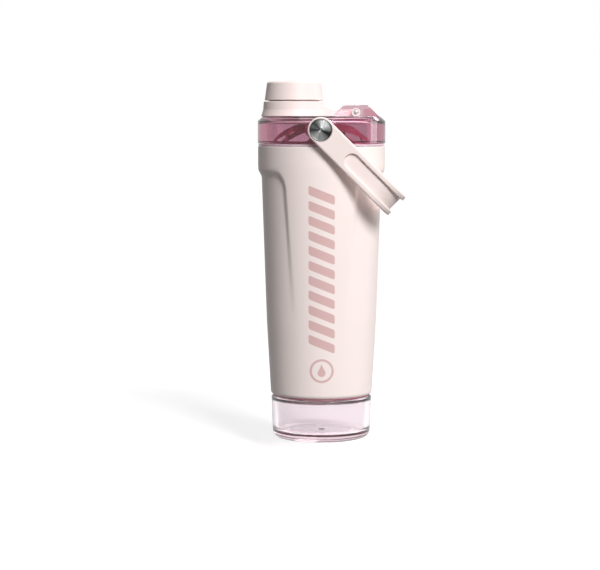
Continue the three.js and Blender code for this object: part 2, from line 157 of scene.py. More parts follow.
class Graph:
    """One node material, with its Principled shader ready for values and links."""

    def __init__(self, name: str) -> None:
        """Makes an empty material of that name.

        Args:
            name: the name of the material.
        """
        self.material = bpy.data.materials.new(name)
        self.material.use_nodes = True
        self.tree = self.material.node_tree
        self.tree.nodes.clear()
        self.output = self.tree.nodes.new("ShaderNodeOutputMaterial")
        self.shader = self.tree.nodes.new("ShaderNodeBsdfPrincipled")
        self.tree.links.new(self.shader.outputs["BSDF"], self.output.inputs["Surface"])

    def _feed(self, socket: bpy.types.NodeSocket, value: object) -> None:
        """Sets a socket's value or links a wire to it.

        Args:
            socket: the input.
            value: a wire, or a plain value.
        """
        if isinstance(value, Wire):
            self.tree.links.new(value.socket, socket)
        else:
            socket.default_value = value

    def node(
        self, kind: str, settings: dict[str, object], inputs: dict[str | int, object], out: str | int = 0
    ) -> Wire:
        """Adds a node.

        Args:
            kind: the node's type.
            settings: properties of the node, set first.
            inputs: values or wires, by socket name or number.
            out: the output socket to return.

        Returns:
            The chosen output as a wire.
        """
        made = self.tree.nodes.new(kind)
        for name, value in settings.items():
            setattr(made, name, value)
        for name, value in inputs.items():
            self._feed(made.inputs[name], value)
        return Wire(self, made.outputs[out])

    def math(self, operation: str, *values: Wire | float) -> Wire:
        """Adds a Math node and returns its result."""
        return self.node("ShaderNodeMath", {"operation": operation}, dict(enumerate(values)))

    def length(self, across: Wire, up: Wire) -> Wire:
        """Returns the length of a flat vector."""
        return self.math("SQRT", across * across + up * up)

    def coordinates(self) -> Wire:
        """Returns the Object coordinates."""
        return self.node("ShaderNodeTexCoord", {}, {}, "Object")

    def split(self, vector: Wire) -> tuple[Wire, Wire, Wire]:
        """Returns the X, Y and Z of a vector.

        Args:
            vector: the vector.

        Returns:
            One wire for each axis.
        """
        parts = self.tree.nodes.new("ShaderNodeSeparateXYZ")
        self._feed(parts.inputs[0], vector)
        return tuple(Wire(self, socket) for socket in parts.outputs)

    def noise(self, scale: float, detail: float = 3, stretch: Sequence[float] = (1, 1, 1)) -> Wire:
        """Returns a noise texture on Object coordinates.

        Args:
            scale: cells per metre.
            detail: octaves.
            stretch: how much each axis is scaled first.

        Returns:
            The noise from 0 to 1.
        """
        placed = self.node("ShaderNodeMapping", {}, {"Vector": self.coordinates(), "Scale": stretch})
        return self.node("ShaderNodeTexNoise", {}, {"Vector": placed, "Scale": scale, "Detail": detail}, "Fac")

    def grey(self, value: Wire) -> Wire:
        """Returns a grey colour of a value."""
        return self.node("ShaderNodeCombineColor", {}, {0: value, 1: value, 2: value})

    def blend(self, amount: Wire, first: Colour | Wire, second: Colour | Wire) -> Wire:
        """Returns a mix of two colours."""
        return self.node("ShaderNodeMix", {"data_type": "RGBA"}, {0: amount, 6: first, 7: second}, 2)

    def bump(self, height: Wire, distance: float, strength: float = 1) -> None:
        """Feeds the shader's normal with a bump of a height in metres."""
        normal = self.node("ShaderNodeBump", {}, {"Height": height, "Distance": distance, "Strength": strength})
        self.set(Normal=normal)

    def let_light_in(self, tint: Colour) -> None:
        """Lets the lamps' light pass straight through the surface, tinted, to what lies behind it.

        Args:
            tint: the colour that the passing light takes.
        """
        open_way = self.tree.nodes.new("ShaderNodeBsdfTransparent")
        open_way.inputs["Color"].default_value = tint
        mix = self.tree.nodes.new("ShaderNodeMixShader")
        self._feed(mix.inputs[0], self.node("ShaderNodeLightPath", {}, {}, "Is Shadow Ray"))
        self.tree.links.new(self.shader.outputs["BSDF"], mix.inputs[1])
        self.tree.links.new(open_way.outputs[0], mix.inputs[2])
        self.tree.links.new(mix.outputs[0], self.output.inputs["Surface"])

    def set(self, **values: object) -> None:
        """Sets the shader's sockets; a name's underscores stand for spaces."""
        for name, value in values.items():
            self._feed(self.shader.inputs[name.replace("_", " ")], value)


# ---------------------------------------------------------------- finishes


def dimmed(colour: Colour, share: float) -> Colour:
    """Returns a colour at a share of its brightness."""
    return tuple(channel * share for channel in colour[:3]) + (1,)


@dataclass(frozen=True)
class Print:
    """The generic screen print on the front: a tall column of slanted bars over a ring with a drop in it."""

    colour: Colour = (0.7, 0.465, 0.455, 1)
    centre_x: float = 0.6
    half_width: float = 8.6
    column_low: float = 61.5
    bars: int = 11
    bar_period: float = 9.8
    bar_width: float = 6.0
    corner: float = 1.3
    slope: float = 0.4
    ring_z: float = 48.5
    ring_radius: float = 7.2
    line: float = 1.5
    drop_radius: float = 2.6
    drop_low: float = 1.3
    drop_slope: Point = (1.9, 0.85)
    drop_tip: float = 4.95
    drop_waist: float = 0.4
    edge: float = 0.12

    def column(self, graph: Graph, u: Wire, v: Wire) -> Wire:
        """Returns the signed distance to the slanted bars.

        Args:
            graph: the material's graph.
            u: millimetres across from the print's middle.
            v: millimetres up.

        Returns:
            The distance, negative inside a bar.
        """
        height = self.bars * self.bar_period
        slanted = v + u * self.slope - self.column_low
        beside = abs(u) - (self.half_width - self.corner)
        from_middle = graph.math("PINGPONG", slanted - self.bar_period / 2, self.bar_period / 2)
        beyond = graph.math("SUBTRACT", from_middle, self.bar_width / 2 - self.corner)
        outside = graph.length(beside.at_least(0), beyond.at_least(0))
        bar = outside + beside.at_least(beyond).at_most(0) - self.corner
        return bar.at_least(abs(slanted - height / 2) - height / 2)

    def badge(self, graph: Graph, u: Wire, v: Wire) -> Wire:
        """Returns the signed distance to the ring and the drop inside it.

        Args:
            graph: the material's graph.
            u: millimetres across from the print's middle.
            v: millimetres up.

        Returns:
            The distance, negative inside the ink.
        """
        rise = v - self.ring_z
        ring = abs(graph.length(u, rise) - self.ring_radius) - self.line / 2
        low = rise + self.drop_low
        across, up = self.drop_slope
        belly = graph.length(u, low) - self.drop_radius
        tip = (abs(u) * across + low * up - self.drop_tip).at_least(self.drop_waist - low)
        return ring.at_most(belly).at_most(tip)

    def mask(self, graph: Graph) -> Wire:
        """Returns where the ink lies, from 0 to 1, on a graph's Object coordinates.

        Args:
            graph: the material's graph.

        Returns:
            The mask.
        """
        x, y, z = graph.split(graph.coordinates())
        u = x / METRES - self.centre_x
        v = z / METRES
        ink = self.column(graph, u, v).at_most(self.badge(graph, u, v)).inside(self.edge)
        return ink * graph.math("LESS_THAN", y, 0.0)


@dataclass(frozen=True)
class PowderCoat:
    """A fine eggshell powder coat, with an optional screen print."""

    name: str
    colour: Colour
    print: Print | None = None

    def material(self) -> bpy.types.Material:
        """Returns the material.

        Returns:
            A new material with its nodes.
        """
        graph = Graph(self.name)
        drift = graph.noise(28, 2)
        colour = graph.blend(drift, self.colour, dimmed(self.colour, 0.965))
        grain = graph.noise(2600, 2)
        rough = 0.46 + grain * 0.1
        if self.print is not None:
            ink = self.print.mask(graph)
            colour = graph.blend(ink, colour, self.print.colour)
            rough = rough - ink * 0.06
        graph.set(Base_Color=colour, Roughness=rough, Specular_IOR_Level=0.4)
        graph.bump(grain, 0.00003, 0.55)
        return graph.material


@dataclass(frozen=True)
class Moulded:
    """A moulded plastic or rubber with a light spark-eroded texture."""

    name: str
    colour: Colour
    roughness: float
    grain: float = 0.000012

    def material(self) -> bpy.types.Material:
        """Returns the material.

        Returns:
            A new material with its nodes.
        """
        graph = Graph(self.name)
        drift = graph.noise(40, 2)
        texture = graph.noise(3400, 2)
        graph.set(
            Base_Color=graph.blend(drift, self.colour, dimmed(self.colour, 0.955)),
            Roughness=self.roughness - 0.04 + texture * 0.08,
            Specular_IOR_Level=0.35,
        )
        graph.bump(texture, self.grain, 0.5)
        return graph.material


@dataclass(frozen=True)
class ClearPlastic:
    """A clear, tinted copolyester whose colour deepens with thickness."""

    name: str
    surface: Colour
    depth: Colour
    density: float
    roughness: float = 0.02
    ripple: float = 0.00002
    clearness: float = 1.0

    def material(self) -> bpy.types.Material:
        """Returns the material.

        Returns:
            A new material with its nodes.
        """
        graph = Graph(self.name)
        flow = graph.noise(70, 1, (1, 1, 0.4))
        graph.set(
            Base_Color=self.surface,
            Roughness=self.roughness + flow * 0.02,
            IOR=1.53,
            Transmission_Weight=self.clearness,
        )
        graph.bump(flow, self.ripple, 0.6)
        body = graph.tree.nodes.new("ShaderNodeVolumeAbsorption")
        body.inputs["Color"].default_value = self.depth
        body.inputs["Density"].default_value = self.density
        graph.tree.links.new(body.outputs[0], graph.output.inputs["Volume"])
        graph.let_light_in(self.surface)
        return graph.material


@dataclass(frozen=True)
class Steel:
    """A stainless steel with a grain that runs round the Z axis."""

    name: str
    colour: Colour = (0.62, 0.62, 0.63, 1)
    roughness: float = 0.3

    def material(self) -> bpy.types.Material:
        """Returns the material.

        Returns:
            A new material with its nodes.
        """
        graph = Graph(self.name)
        grain = graph.noise(900, 3, (0.06, 0.06, 1))
        graph.set(
            Base_Color=graph.blend(grain, dimmed(self.colour, 0.86), self.colour),
            Metallic=1.0,
            Roughness=self.roughness - 0.05 + grain * 0.12,
        )
        graph.bump(grain, 0.00001, 0.5)
        return graph.material


@dataclass(frozen=True)
class TurnedSteel:
    """A lathe-turned steel face: fine circles about an axis along Y, with light and dark wedges of painted
    reflection in its colour.
    """

    name: str
    centre_z: float
    # The bright end and the dark end of the painted reflections on the turned face.
    colour: Colour = (0.4, 0.41, 0.405, 1)
    dark_reflection_colour: Colour = (0.02, 0.021, 0.021, 1)
    pitch: float = 0.00022
    reflection_wedges: tuple[tuple[int, float, float], ...] = ((2, -0.7, 0.34), (5, 0.7, 0.14), (9, 2, 0.06))

    def material(self) -> bpy.types.Material:
        """Returns the material.

        Returns:
            A new material with its nodes.
        """
        graph = Graph(self.name)
        x, _, z = graph.split(graph.coordinates())
        rise = z - self.centre_z * METRES
        radius = graph.length(x, rise)
        angle = graph.math("ARCTAN2", rise, x)
        rings = graph.math("SINE", radius * (math.tau / self.pitch))
        # Colour share: faint turning rings, plus painted reflection wedges by angle round the axis.
        light = rings * 0.05 + 0.42
        for count, shift, strength in self.reflection_wedges:
            light = light + graph.math("SINE", angle * count + shift) * strength
        clamped = graph.node("ShaderNodeClamp", {}, {"Value": light})
        graph.set(
            Base_Color=graph.blend(clamped, self.dark_reflection_colour, self.colour),
            Metallic=1.0,
            Roughness=0.34 + rings * 0.03,
        )
        graph.bump(rings, 0.000006, 0.7)
        return graph.material


class Finishes:
    """Every material of the bottle, made once."""

    def __init__(self, pivot_z: float) -> None:
        """Makes the materials; the pivots' turned faces are centred on a height in millimetres.

        Args:
            pivot_z: the height of the handle's pivots, in millimetres.
        """
        self.coat = PowderCoat("powder_coat", (0.95, 0.83, 0.797, 1), Print()).material()
        self.plastic = Moulded("blush_plastic", (0.9, 0.77, 0.74, 1), 0.48).material()
        # The lid's grey-rose tint is partly the plastic's own colour and partly painted shade: it darkens
        # everything seen through the lid.
        self.lid = ClearPlastic("rose_clear", (0.73, 0.67, 0.72, 1), (0.68, 0.12, 0.3, 1), 100).material()
        self.agitator = ClearPlastic(
            "deep_rose_clear", (0.64, 0.1, 0.22, 1), (0.6, 0.08, 0.2, 1), 95, 0.06, clearness=0.5
        ).material()
        # A paler copy of the lid's plastic for the hump: its lighter tint and weaker absorption paint the hump
        # brighter than the lid.
        self.hump = ClearPlastic(
            "rose_clear_painted_bright", (0.86, 0.81, 0.825, 1), (0.72, 0.22, 0.36, 1), 55
        ).material()
        self.cup = ClearPlastic("pale_clear", (0.85, 0.8, 0.825, 1), (0.93, 0.6, 0.7, 1), 9).material()
        self.steel = Steel("brushed_steel").material()
        self.turned = TurnedSteel("turned_steel", pivot_z).material()
        self.brass = Steel("satin_brass", (0.66, 0.47, 0.2, 1), 0.36).material()
        self.silicone = Moulded("silicone", (0.78, 0.64, 0.7, 1), 0.55).material()
        # The cup seal's dark crimson colour paints the shadow line in the gap under the body's foot.
        self.shade_line_silicone = Moulded("seal_painted_shadow_line", (0.36, 0.03, 0.09, 1), 0.5).material()
        self.white = Moulded("natural_white", (0.8, 0.79, 0.77, 1), 0.42).material()


# ---------------------------------------------------------------- mesh making


def rounded(corners: Sequence[Corner], steps: int = 6) -> list[Point]:
    """Rounds the corners of an outline.

    Args:
        corners: (across, up, radius) for each corner; a radius of 0 keeps it sharp.
        steps: segments in each rounding.

    Returns:
        The outline's points.
    """
    points: list[Point] = []
    for index, (across, up, radius) in enumerate(corners):
        here = Vector((across, up))
        if radius <= 0:
            points.append((across, up))
            continue
        before = Vector(corners[index - 1][:2]) - here
        after = Vector(corners[(index + 1) % len(corners)][:2]) - here
        half = before.angle(after) / 2
        reach = min(radius / math.tan(half), before.length * 0.499, after.length * 0.499)
        radius = reach * math.tan(half)
        centre = here + (before.normalized() + after.normalized()).normalized() * (radius / math.sin(half))
        start = here + before.normalized() * reach - centre
        end = here + after.normalized() * reach - centre
        sweep = start.angle_signed(end)
        for step in range(steps + 1):
            turn = Matrix.Rotation(-sweep * step / steps, 2)
            points.append(tuple(centre + turn @ start))
    return points


def lathe(outline: Sequence[Point], steps: int = 128) -> bmesh.types.BMesh:
    """Spins an outline about Z into a closed solid.

    Args:
        outline: (radius, height) points, either a loop or a line that starts and ends on the axis.
        steps: segments round.

    Returns:
        The solid, in millimetres.
    """
    mesh = bmesh.new()
    verts = [mesh.verts.new((radius, 0, height)) for radius, height in outline]
    edges = [mesh.edges.new(pair) for pair in zip(verts, verts[1:])]
    if outline[0][0] > 0 or outline[-1][0] > 0:
        edges.append(mesh.edges.new((verts[-1], verts[0])))
    bmesh.ops.spin(
        mesh, geom=verts + edges, cent=(0, 0, 0), axis=(0, 0, 1), angle=math.tau, steps=steps, use_merge=True
    )
    return tidied(mesh)


def turned(corners: Sequence[Corner], rounding: int = 6, steps: int = 128) -> bmesh.types.BMesh:
    """Rounds an outline and spins it about Z into a closed solid.

    Args:
        corners: (radius, height, rounding) for each corner, going round the section. An edge between two
            neighbours on the axis is left out.
        rounding: segments in each rounding.
        steps: segments round.

    Returns:
        The solid, in millimetres.
    """
    points = rounded(corners, rounding)
    pairs = enumerate(zip(points, points[1:]), 1)
    first = next((after for after, (one, two) in pairs if one[0] == two[0] == 0), 0)
    return lathe(points[first:] + points[:first], steps)


def swept(
    section: Sequence[Point], start: float, angle: float, steps: int, climb: float = 0.0
) -> bmesh.types.BMesh:
    """Sweeps a section round part of a turn about Z.

    Args:
        section: (radius, height) corners.
        start: the angle where the sweep starts, in radians.
        angle: how far it goes round, in radians.
        steps: segments on the way.
        climb: how far it rises on the way.

    Returns:
        The swept section with both ends closed, in millimetres.
    """
    mesh = bmesh.new()
    face = mesh.faces.new([mesh.verts.new((radius, 0, height)) for radius, height in section])
    bmesh.ops.rotate(mesh, verts=mesh.verts, cent=(0, 0, 0), matrix=Matrix.Rotation(start, 3, "Z"))
    bmesh.ops.spin(
        mesh, geom=[face, *face.edges, *face.verts], cent=(0, 0, 0), axis=(0, 0, 1), angle=angle, steps=steps,
        dvec=(0, 0, climb / steps), use_merge=False,
    )
    return mesh


def bayonet_lug(inner: float, outer: float, low: float, high: float, middle: float) -> bmesh.types.BMesh:
    """Makes one lug of the bayonet that locks the spout's cap.

    Args:
        inner: its inner radius.
        outer: its outer radius.
        low: its lowest height.
        high: its highest height.
        middle: the angle that it is centred on, in degrees.

    Returns:
        The solid, in millimetres.
    """
    section = [(inner, low), (outer, low), (outer, high), (inner, high)]
    return tidied(swept(section, math.radians(middle - LUG_SPAN / 2), math.radians(LUG_SPAN), 16))


def tidied(mesh: bmesh.types.BMesh) -> bmesh.types.BMesh:
    """Merges doubles, drops slivers of no area and turns the faces outwards.

    Args:
        mesh: the solid, changed in place.

    Returns:
        The same solid.
    """
    bmesh.ops.remove_doubles(mesh, verts=mesh.verts, dist=1e-4)
    bmesh.ops.dissolve_degenerate(mesh, edges=mesh.edges, dist=1e-5)
    bmesh.ops.recalc_face_normals(mesh, faces=mesh.faces)
    return mesh


def slab(outline: Sequence[Point], low: float, high: float, edge: float = 0.0) -> bmesh.types.BMesh:
    """Extrudes an outline of the XZ plane along Y.

    Args:
        outline: (x, z) points.
        low: the first Y.
        high: the last Y.
        edge: the rounding of the two rims.

    Returns:
        The solid, in millimetres.
    """
    mesh = bmesh.new()
    face = mesh.faces.new([mesh.verts.new((x, low, z)) for x, z in outline])
    grown = bmesh.ops.extrude_face_region(mesh, geom=[face])["geom"]
    moved = [item for item in grown if isinstance(item, bmesh.types.BMVert)]
    bmesh.ops.translate(mesh, verts=moved, vec=(0, high - low, 0))
    if edge > 0:
        rims = [e for e in mesh.edges if abs(e.verts[0].co.y - e.verts[1].co.y) < 1e-6]
        bmesh.ops.bevel(
            mesh, geom=rims, offset=edge, segments=3, profile=0.5, affect="EDGES", material=-1,
            clamp_overlap=True,
        )
    return tidied(mesh)


def rod(radius: float, low: float, high: float, chamfer: float = 0.0, steps: int = 48) -> bmesh.types.BMesh:
    """Returns a rod along Z with rounded rims, in millimetres."""
    return turned([(0, low, 0), (radius, low, chamfer), (radius, high, chamfer), (0, high, 0)], 3, steps)


def ridge(wall: float, screw: "Screw") -> list[bmesh.types.BMesh]:
    """Makes the helical ridges of a thread by spinning a section with a climb.

    Args:
        wall: the radius of the wall that carries them.
        screw: the thread.

    Returns:
        One closed solid for each start.
    """
    middle = 0.0 if screw.height < 0 else screw.lead / screw.starts / 2
    root, crest = wall - math.copysign(screw.sunk, screw.height), wall + screw.height
    half_root, half_crest = screw.root_width / 2, screw.crest_width / 2
    turns = screw.rise / screw.lead
    steps = max(8, round(turns * 96))
    section = [
        (root, screw.low - half_root), (root, screw.low + half_root),
        (crest, screw.low + half_crest), (crest, screw.low - half_crest),
    ]
    made = []
    for start in range(screw.starts):
        mesh = swept(section, 0, turns * math.tau, steps, screw.rise)
        for vert in mesh.verts:
            along = (vert.co.z - screw.low) / screw.rise
            taper = max(0.0, min(1.0, along * 12, (1 - along) * 12))
            radius = math.hypot(vert.co.x, vert.co.y)
            if abs(radius - root) > 1e-3:
                keep = (root + (radius - root) * (0.35 + 0.65 * taper)) / radius
                vert.co.x *= keep
                vert.co.y *= keep
        first = ((screw.low - middle) / screw.lead + start / screw.starts) * math.tau
        bmesh.ops.rotate(mesh, verts=mesh.verts, cent=(0, 0, 0), matrix=Matrix.Rotation(first, 3, "Z"))
        made.append(tidied(mesh))
    return made


def to_pivot(mesh: bmesh.types.BMesh, side: Side, height: float, x: float = 0.0) -> bmesh.types.BMesh:
    """Turns a solid made along Z to lie along Y on one side, at a height and an X.

    Args:
        mesh: the solid, changed in place.
        side: the side of the bottle that its top points to.
        height: the Z of its new axis.
        x: the X of its new axis.

    Returns:
        The same solid.
    """
    turn = Matrix.Rotation(math.radians(-90 * side.value), 3, "X")
    bmesh.ops.rotate(mesh, verts=mesh.verts, cent=(0, 0, 0), matrix=turn)
    bmesh.ops.translate(mesh, verts=mesh.verts, vec=(x, 0, height))
    return mesh


def shifted(mesh: bmesh.types.BMesh, x: float = 0.0, y: float = 0.0, z: float = 0.0) -> bmesh.types.BMesh:
    """Returns a solid moved by an offset in millimetres."""
    bmesh.ops.translate(mesh, verts=mesh.verts, vec=(x, y, z))
    return mesh


def loose_object(mesh: bmesh.types.BMesh, name: str) -> bpy.types.Object:
    """Turns a bmesh in millimetres into a linked object in metres, and frees it.

    Args:
        mesh: the bmesh, used up.
        name: the name of the object.

    Returns:
        The object.
    """
    bmesh.ops.scale(mesh, verts=mesh.verts, vec=(METRES,) * 3)
    data = bpy.data.meshes.new(name)
    mesh.to_mesh(data)
    mesh.free()
    made = bpy.data.objects.new(name, data)
    bpy.context.scene.collection.objects.link(made)
    return made


def carve(target: bpy.types.Object, tools: Iterable[bmesh.types.BMesh], cut: Cut) -> None:
    """Joins solids to an object or removes them from it.

    Args:
        target: the object that is changed.
        tools: solids in millimetres, used up.
        cut: whether they are joined or removed.
    """
    helpers = [loose_object(tool, f"{target.name}_tool") for tool in tools]
    for helper in helpers:
        modifier = target.modifiers.new(cut.name, "BOOLEAN")
        modifier.operation = cut.value
        modifier.solver = "EXACT"
        modifier.object = helper
    graph = bpy.context.evaluated_depsgraph_get()
    result = bpy.data.meshes.new_from_object(target.evaluated_get(graph))
    old = target.data
    target.modifiers.clear()
    target.data = result
    bpy.data.meshes.remove(old)
    for helper in helpers:
        bpy.data.objects.remove(helper)


def extent(node: str) -> Iterable[Vector]:
    """Returns the lowest and the highest corner of a CAD node, in millimetres."""
    return (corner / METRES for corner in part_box(node))


@dataclass(frozen=True)
class Dress:
    """What a finished piece wears, what it rides on and which CAD nodes it stands for."""

    material: bpy.types.Material
    slot: str
    body: str
    nodes: tuple[str, ...]


def finish_piece(piece: bpy.types.Object, dress: Dress) -> None:
    """Smooths a piece, gives it its material and hands it to the frame.

    Args:
        piece: the object, in place.
        dress: its material, slot, body and the nodes it stands for.
    """
    data = piece.data
    data.materials.clear()
    data.materials.append(dress.material)
    data.shade_smooth()
    data.set_sharp_from_angle(angle=SMOOTH_ANGLE)
    weighted = piece.modifiers.new("even_normals", "WEIGHTED_NORMAL")
    weighted.keep_sharp = True
    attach(piece, dress.body)
    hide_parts(*dress.nodes)
    LOG.info("%s: %d faces on %s", piece.name, len(data.polygons), dress.body)


# ---------------------------------------------------------------- the bottle's sub-assemblies


@dataclass(frozen=True)
class Screw:
    """A trapezoid thread of the section that the lid and the storage cup share.

    Its ridges stand out of their wall by height, or inwards where that is negative, start at low and climb
    by rise.
    """

    height: float
    low: float
    rise: float
    lead: float = 8.0
    starts: int = 2
    root_width: float = 1.4
    crest_width: float = 0.8
    sunk: float = 0.4


@dataclass
class SteelBody:
    """The powder-coated outer shell with its two grip recesses, and the steel liner inside it."""

    finishes: Finishes
    liner_screw: Screw = Screw(-1.2, 186.8, 7.2)
    adapter_screw: Screw = Screw(-1.1, 31.9, 5.2)
    band_bottom: float = 182.9
    band_step: float = 1.2
    foot_radius: float = 33.93
    wall: float = 0.9
    foot_round: float = 3.0
    mouth_radius: float = 39.8
    grip_depth: float = 2.0
    grip_top: float = 175.4
    grip_fade: float = 80.0
    grip_half_width: float = 39.6
    grip_corner: float = 8.0
    grip_step: float = 4.2
    grip_arch: float = 0.75
    rim_edge: float = 0.55
    ring_pitch: float = 1.25
    inner_rings: tuple[float, ...] = (180.4, 178.4, 176.4, 173.4, 128.0)
    liner_bore: float = 38.6
    liner_tube: float = 39.5
    liner_wall: float = 0.8
    liner_floor: float = 48.3
    liner_flank: tuple[Point, ...] = ((31.2, 55.3), (33.8, 89.5), (35.9, 144.5), (37.3, 175.4))
    liner_neck: float = 184.0
    adapter_bore: float = 29.3
    adapter_nose: float = 30.7
    adapter_radius: float = 32.8
    adapter_bottom: float = 30.3
    adapter_top: float = 40.3
    adapter_roof: float = 38.5

    def __post_init__(self) -> None:
        """Reads the body's height and rim radius from the frame."""
        low, high = extent("outer_shell")
        self.bottom = low.z
        self.top = high.z
        self.rim_radius = high.y

    def radius(self, z: float) -> float:
        """Returns the outer radius at a height, recesses aside.

        Args:
            z: the height.

        Returns:
            The radius.
        """
        along = max(0.0, min(1.0, (z - self.bottom) / (self.band_bottom - self.bottom)))
        soft = 0.035 * math.exp(-(((z - self.band_bottom) / 2.2) ** 2))
        return self.foot_radius + (self.rim_radius - self.foot_radius) * along - soft

    def grip(self, x: float, y: float, z: float) -> float:
        """Returns how far the wall is pressed in at a point.

        Args:
            x: the X of the point.
            y: its Y.
            z: its height.

        Returns:
            The depth.
        """
        corner = self.grip_corner
        across = abs(math.atan2(y, abs(x))) * self.radius(z) - (self.grip_half_width - corner)
        up = (z - (self.grip_top - corner)) * self.grip_arch
        outside = math.hypot(max(across, 0), max(up, 0)) + min(max(across, up), 0) - corner
        share = max(0.0, min(1.0, 0.5 - outside / self.grip_step))
        inset = share * share * (3 - 2 * share)
        fade = max(0.0, min(1.0, (z - self.grip_fade) / (self.grip_top - self.grip_fade)))
        return self.grip_depth * inset * fade

    def build_shell(self) -> None:
        """Builds the outer shell."""
        foot = self.bottom + self.foot_round
        centre = self.radius(foot) - self.foot_round
        heights = [foot + (self.grip_fade - foot) * step / 8 for step in range(1, 8)]
        heights += [self.grip_fade + self.ring_pitch * step for step in range(83)]
        curl = [math.radians(-90 + 10 * step) for step in range(10)]
        rim = [math.radians(15 * step) for step in range(7)]
        edge, inside = self.rim_edge, self.top - self.wall
        outline = [
            *((centre + self.foot_round * math.cos(a), foot + self.foot_round * math.sin(a)) for a in curl),
            *((self.radius(z), z) for z in heights),
            (self.rim_radius, self.band_bottom + self.band_step),
            *((self.rim_radius + edge * (math.cos(a) - 1), self.top + edge * (math.sin(a) - 1)) for a in rim),
            (self.mouth_radius, self.top),
            (self.mouth_radius, inside),
            (self.rim_radius - self.wall, inside),
            *((self.radius(z) - self.wall, z) for z in (self.band_bottom, *self.inner_rings, self.grip_fade)),
            (self.radius(foot) - self.wall, foot),
            (centre, self.bottom + self.wall),
        ]
        mesh = lathe(outline, 256)
        for vert in mesh.verts:
            depth = self.grip(*vert.co)
            keep = 1 - depth / math.hypot(vert.co.x, vert.co.y)
            vert.co.x *= keep
            vert.co.y *= keep
        shell = loose_object(mesh, "body_shell")
        finish_piece(shell, Dress(self.finishes.coat, "powder_coat", "bottle", ("outer_shell",)))

    def build_liner(self) -> None:
        """Builds the inner liner with its thread."""
        mouth, tube, wall, floor = self.liner_bore, self.liner_tube, self.liner_wall, self.liner_floor
        edge = self.top - 0.3
        outline = [
            (0, floor), (22, floor + 0.8), (28.4, floor + 2.6), *self.liner_flank, (tube, self.liner_neck),
            (tube, edge), (tube - 0.3, self.top), (mouth + 0.3, self.top), (mouth, edge),
            (mouth, self.liner_neck), *((r - wall, z) for r, z in reversed(self.liner_flank)),
            (27.9, floor + 3.4), (22, floor + 1.6), (0, floor + wall),
        ]
        liner = loose_object(lathe(outline, 144), "liner_tube")
        carve(liner, ridge(mouth, self.liner_screw), Cut.JOIN)
        finish_piece(liner, Dress(self.finishes.steel, "steel", "bottle", ("inner_liner",)))

    def build_adapter(self) -> None:
        """Builds the threaded ring and roof that the storage cup screws into."""
        bore, radius = self.adapter_bore, self.adapter_radius
        bottom, top = self.adapter_bottom, self.adapter_top
        corners = [
            (bore, bottom, 0.3), (self.adapter_nose, bottom, 0.3), (radius, bottom + 2.4, 0.4),
            (radius, top, 0.4), (0, top, 0), (0, self.adapter_roof, 0), (bore, self.adapter_roof, 0.6),
        ]
        ring = loose_object(turned(corners, 3, 144), "adapter_ring")
        carve(ring, ridge(bore, self.adapter_screw), Cut.JOIN)
        finish_piece(ring, Dress(self.finishes.plastic, "blush_plastic", "bottle", ("base_adapter",)))

    def build(self) -> None:
        """Builds the body's pieces."""
        self.build_shell()
        self.build_liner()
        self.build_adapter()


@dataclass
class StorageCup:
    """The thick clear cup that screws into the foot, and its seal."""

    finishes: Finishes
    screw: Screw = Screw(1.15, 32.1, 4.6)
    foot_radius: float = 32.65
    corner: float = 5.0
    wall: float = 3.6
    floor: float = 5.0
    neck_radius: float = 27.8
    neck_bore: float = 25.4
    shoulder: float = 28.7
    recess_radius: float = 20.5
    recess_depth: float = 0.7
    gate_radius: float = 2.6
    gate_height: float = 0.7
    seal_bore: float = 28.2
    seal_radius: float = 30.5
    seal_top: float = 30.0

    def __post_init__(self) -> None:
        """Reads the cup's radius and height from the frame."""
        _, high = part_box("storage_cup")
        self.radius = high.y / METRES
        self.neck_top = high.z / METRES

    def build_cup(self) -> None:
        """Builds the cup, with a shallow recess under its foot and a gate mark on its floor."""
        inner, gate_top = self.foot_radius - self.wall, self.floor + self.gate_height
        corners = [
            (0, self.recess_depth, 0), (self.recess_radius, self.recess_depth, 0.4),
            (self.recess_radius + 1.1, 0, 0.5), (self.foot_radius, 0, self.corner),
            (self.radius, self.shoulder - 1, 0.8), (self.radius - 1.2, self.shoulder, 0.6),
            (self.neck_radius, self.shoulder, 0.4), (self.neck_radius, self.neck_top, 0.5),
            (self.neck_bore, self.neck_top, 0.5), (self.neck_bore, self.shoulder - 2.0, 1.0),
            (self.radius - self.wall, self.shoulder - 2.4, 1.2), (inner, self.floor, 3.2),
            (self.gate_radius, self.floor, 0.2), (self.gate_radius - 0.7, gate_top, 0.3), (0, gate_top, 0),
        ]
        cup = loose_object(turned(corners, 8, 160), "cup_clear")
        carve(cup, ridge(self.neck_radius, self.screw), Cut.JOIN)
        finish_piece(cup, Dress(self.finishes.cup, "pale_clear", "cup", ("storage_cup",)))

    def build_seal(self) -> None:
        """Builds the silicone ring between the cup's shoulder and the foot; its dark crimson colour is a
        painted shadow line under the foot.
        """
        low, lip, high = self.shoulder + 0.02, self.radius - 1.25, self.seal_top
        corners = [
            (self.seal_bore, low, 0.2), (lip, low, 0.2), (lip, low + 0.7, 0.3),
            (self.seal_radius, low + 0.9, 0.2), (self.seal_radius, high, 0.3), (self.seal_bore, high, 0.3),
        ]
        seal = loose_object(turned(corners, 4), "cup_seal_ring")
        finish_piece(seal, Dress(self.finishes.shade_line_silicone, "silicone", "cup_slide", ("cup_seal",)))

    def build(self) -> None:
        """Builds the cup and its seal."""
        self.build_cup()
        self.build_seal()


